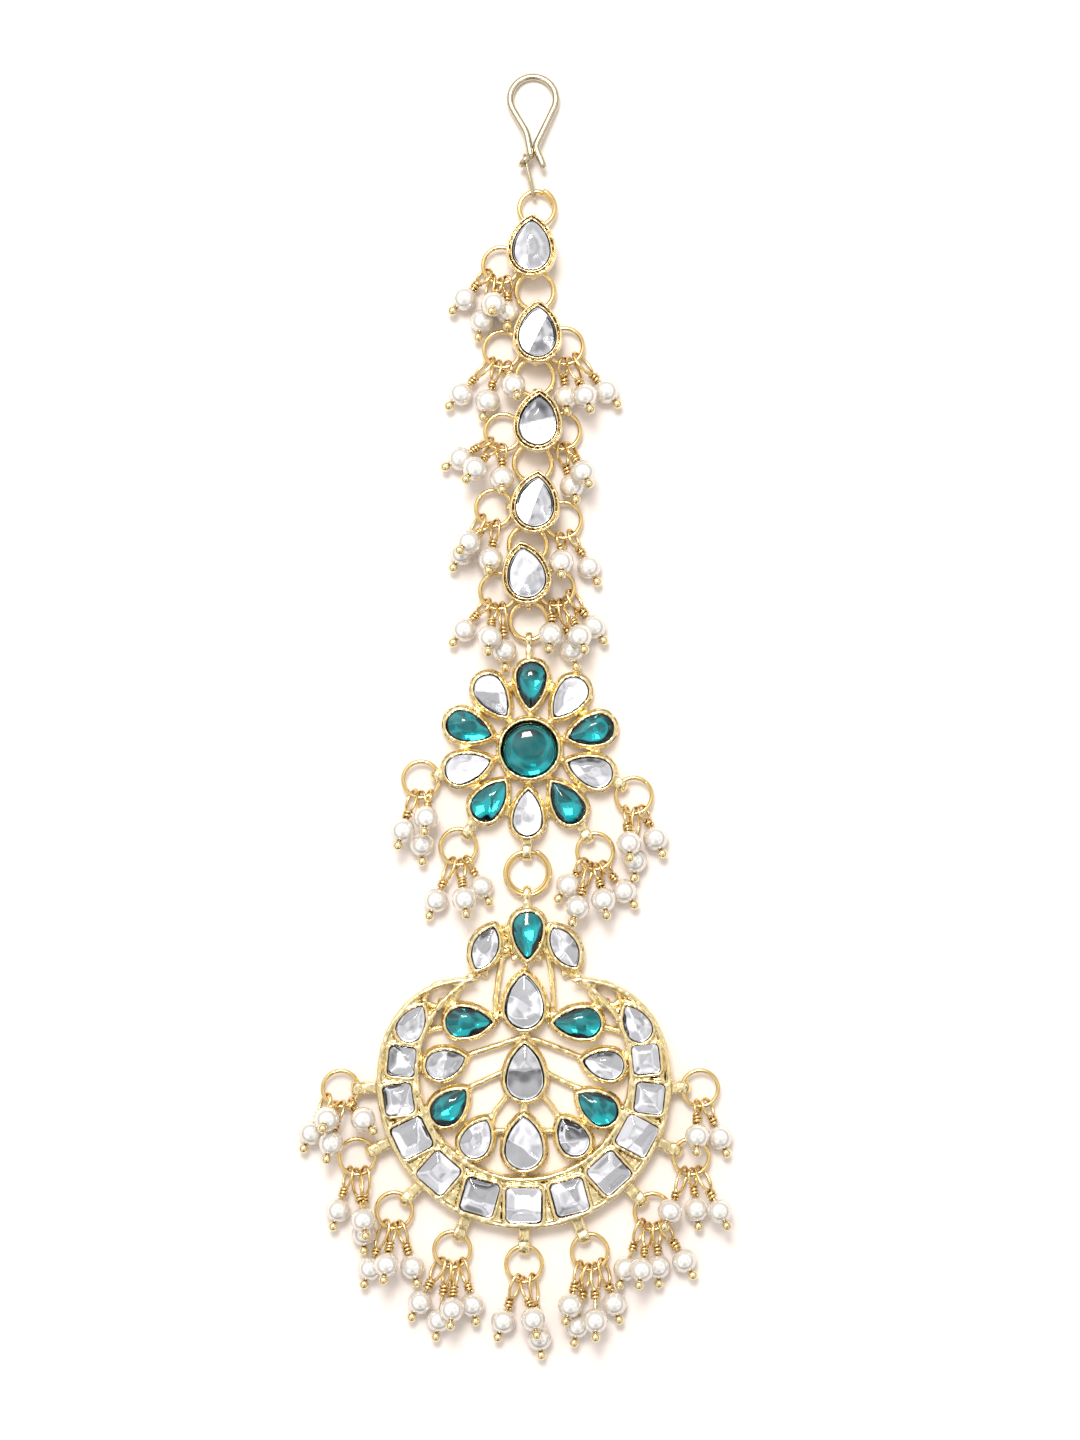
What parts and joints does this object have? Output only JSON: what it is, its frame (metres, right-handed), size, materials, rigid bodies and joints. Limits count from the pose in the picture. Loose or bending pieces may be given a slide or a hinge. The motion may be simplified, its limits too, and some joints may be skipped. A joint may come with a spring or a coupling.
{
  "type": "maang tikka hair jewel",
  "caption": "Gold-toned hair jewel with a hook, a short chain of pear-shaped foil-backed stones, a stone flower and a round openwork pendant, fringed with pearls.",
  "frame": {"origin": "centre of the footprint, on the surface that the jewel lies on", "axes": "+Y along the jewel toward the hair hook, +Z out of the face toward the viewer, +X to the viewer's right"},
  "size_m": [0.0483, 0.1431, 0.0061],
  "materials": {
    "cast_gold": "polished cast, gold plated",
    "gold_wire": "bright drawn wire, gold plated",
    "clear_glass": "foil backed cut glass",
    "teal_glass": "foil backed cut glass",
    "pearl": "lustrous imitation pearl"
  },
  "bodies": {
    "root": {"hair_hook": "gold_wire", "hook_link": "gold_wire", "chain_ring_1": "gold_wire", "chain_ring_2": "gold_wire", "chain_ring_3": "gold_wire", "chain_ring_4": "gold_wire", "chain_ring_5": "gold_wire", "chain_ring_6": "gold_wire", "pendant_ring": "gold_wire", "link_setting_1": "cast_gold", "link_setting_2": "cast_gold", "link_setting_3": "cast_gold", "link_setting_4": "cast_gold", "link_setting_5": "cast_gold", "link_stone_1": "clear_glass", "link_stone_2": "clear_glass", "link_stone_3": "clear_glass", "link_stone_4": "clear_glass", "link_stone_5": "clear_glass", "chain_drop_rings": "gold_wire", "chain_drop_pins": "gold_wire", "chain_pearls": "pearl", "flower_frame": "cast_gold", "flower_centre_stone": "teal_glass", "petal_stone_1": "teal_glass", "petal_stone_2": "clear_glass", "petal_stone_3": "teal_glass", "petal_stone_4": "clear_glass", "petal_stone_5": "teal_glass", "petal_stone_6": "clear_glass", "petal_stone_7": "teal_glass", "petal_stone_8": "clear_glass", "petal_stone_9": "teal_glass", "petal_stone_10": "clear_glass", "flower_drop_rings": "gold_wire", "flower_drop_pins": "gold_wire", "flower_pearls": "pearl", "pendant_frame": "cast_gold", "crown_drop_stone": "teal_glass", "crown_oval_left": "clear_glass", "crown_oval_right": "clear_glass", "centre_pear_1": "clear_glass", "centre_pear_2": "clear_glass", "centre_pear_3": "clear_glass", "teal_leaf_1": "teal_glass", "teal_leaf_2": "teal_glass", "teal_leaf_3": "teal_glass", "teal_leaf_4": "teal_glass", "clear_leaf_1": "clear_glass", "clear_leaf_2": "clear_glass", "clear_leaf_3": "clear_glass", "clear_leaf_4": "clear_glass", "band_stones": "clear_glass", "pendant_drop_rings": "gold_wire", "pendant_drop_pins": "gold_wire", "pendant_pearls": "pearl"}
  },
  "joints": []
}
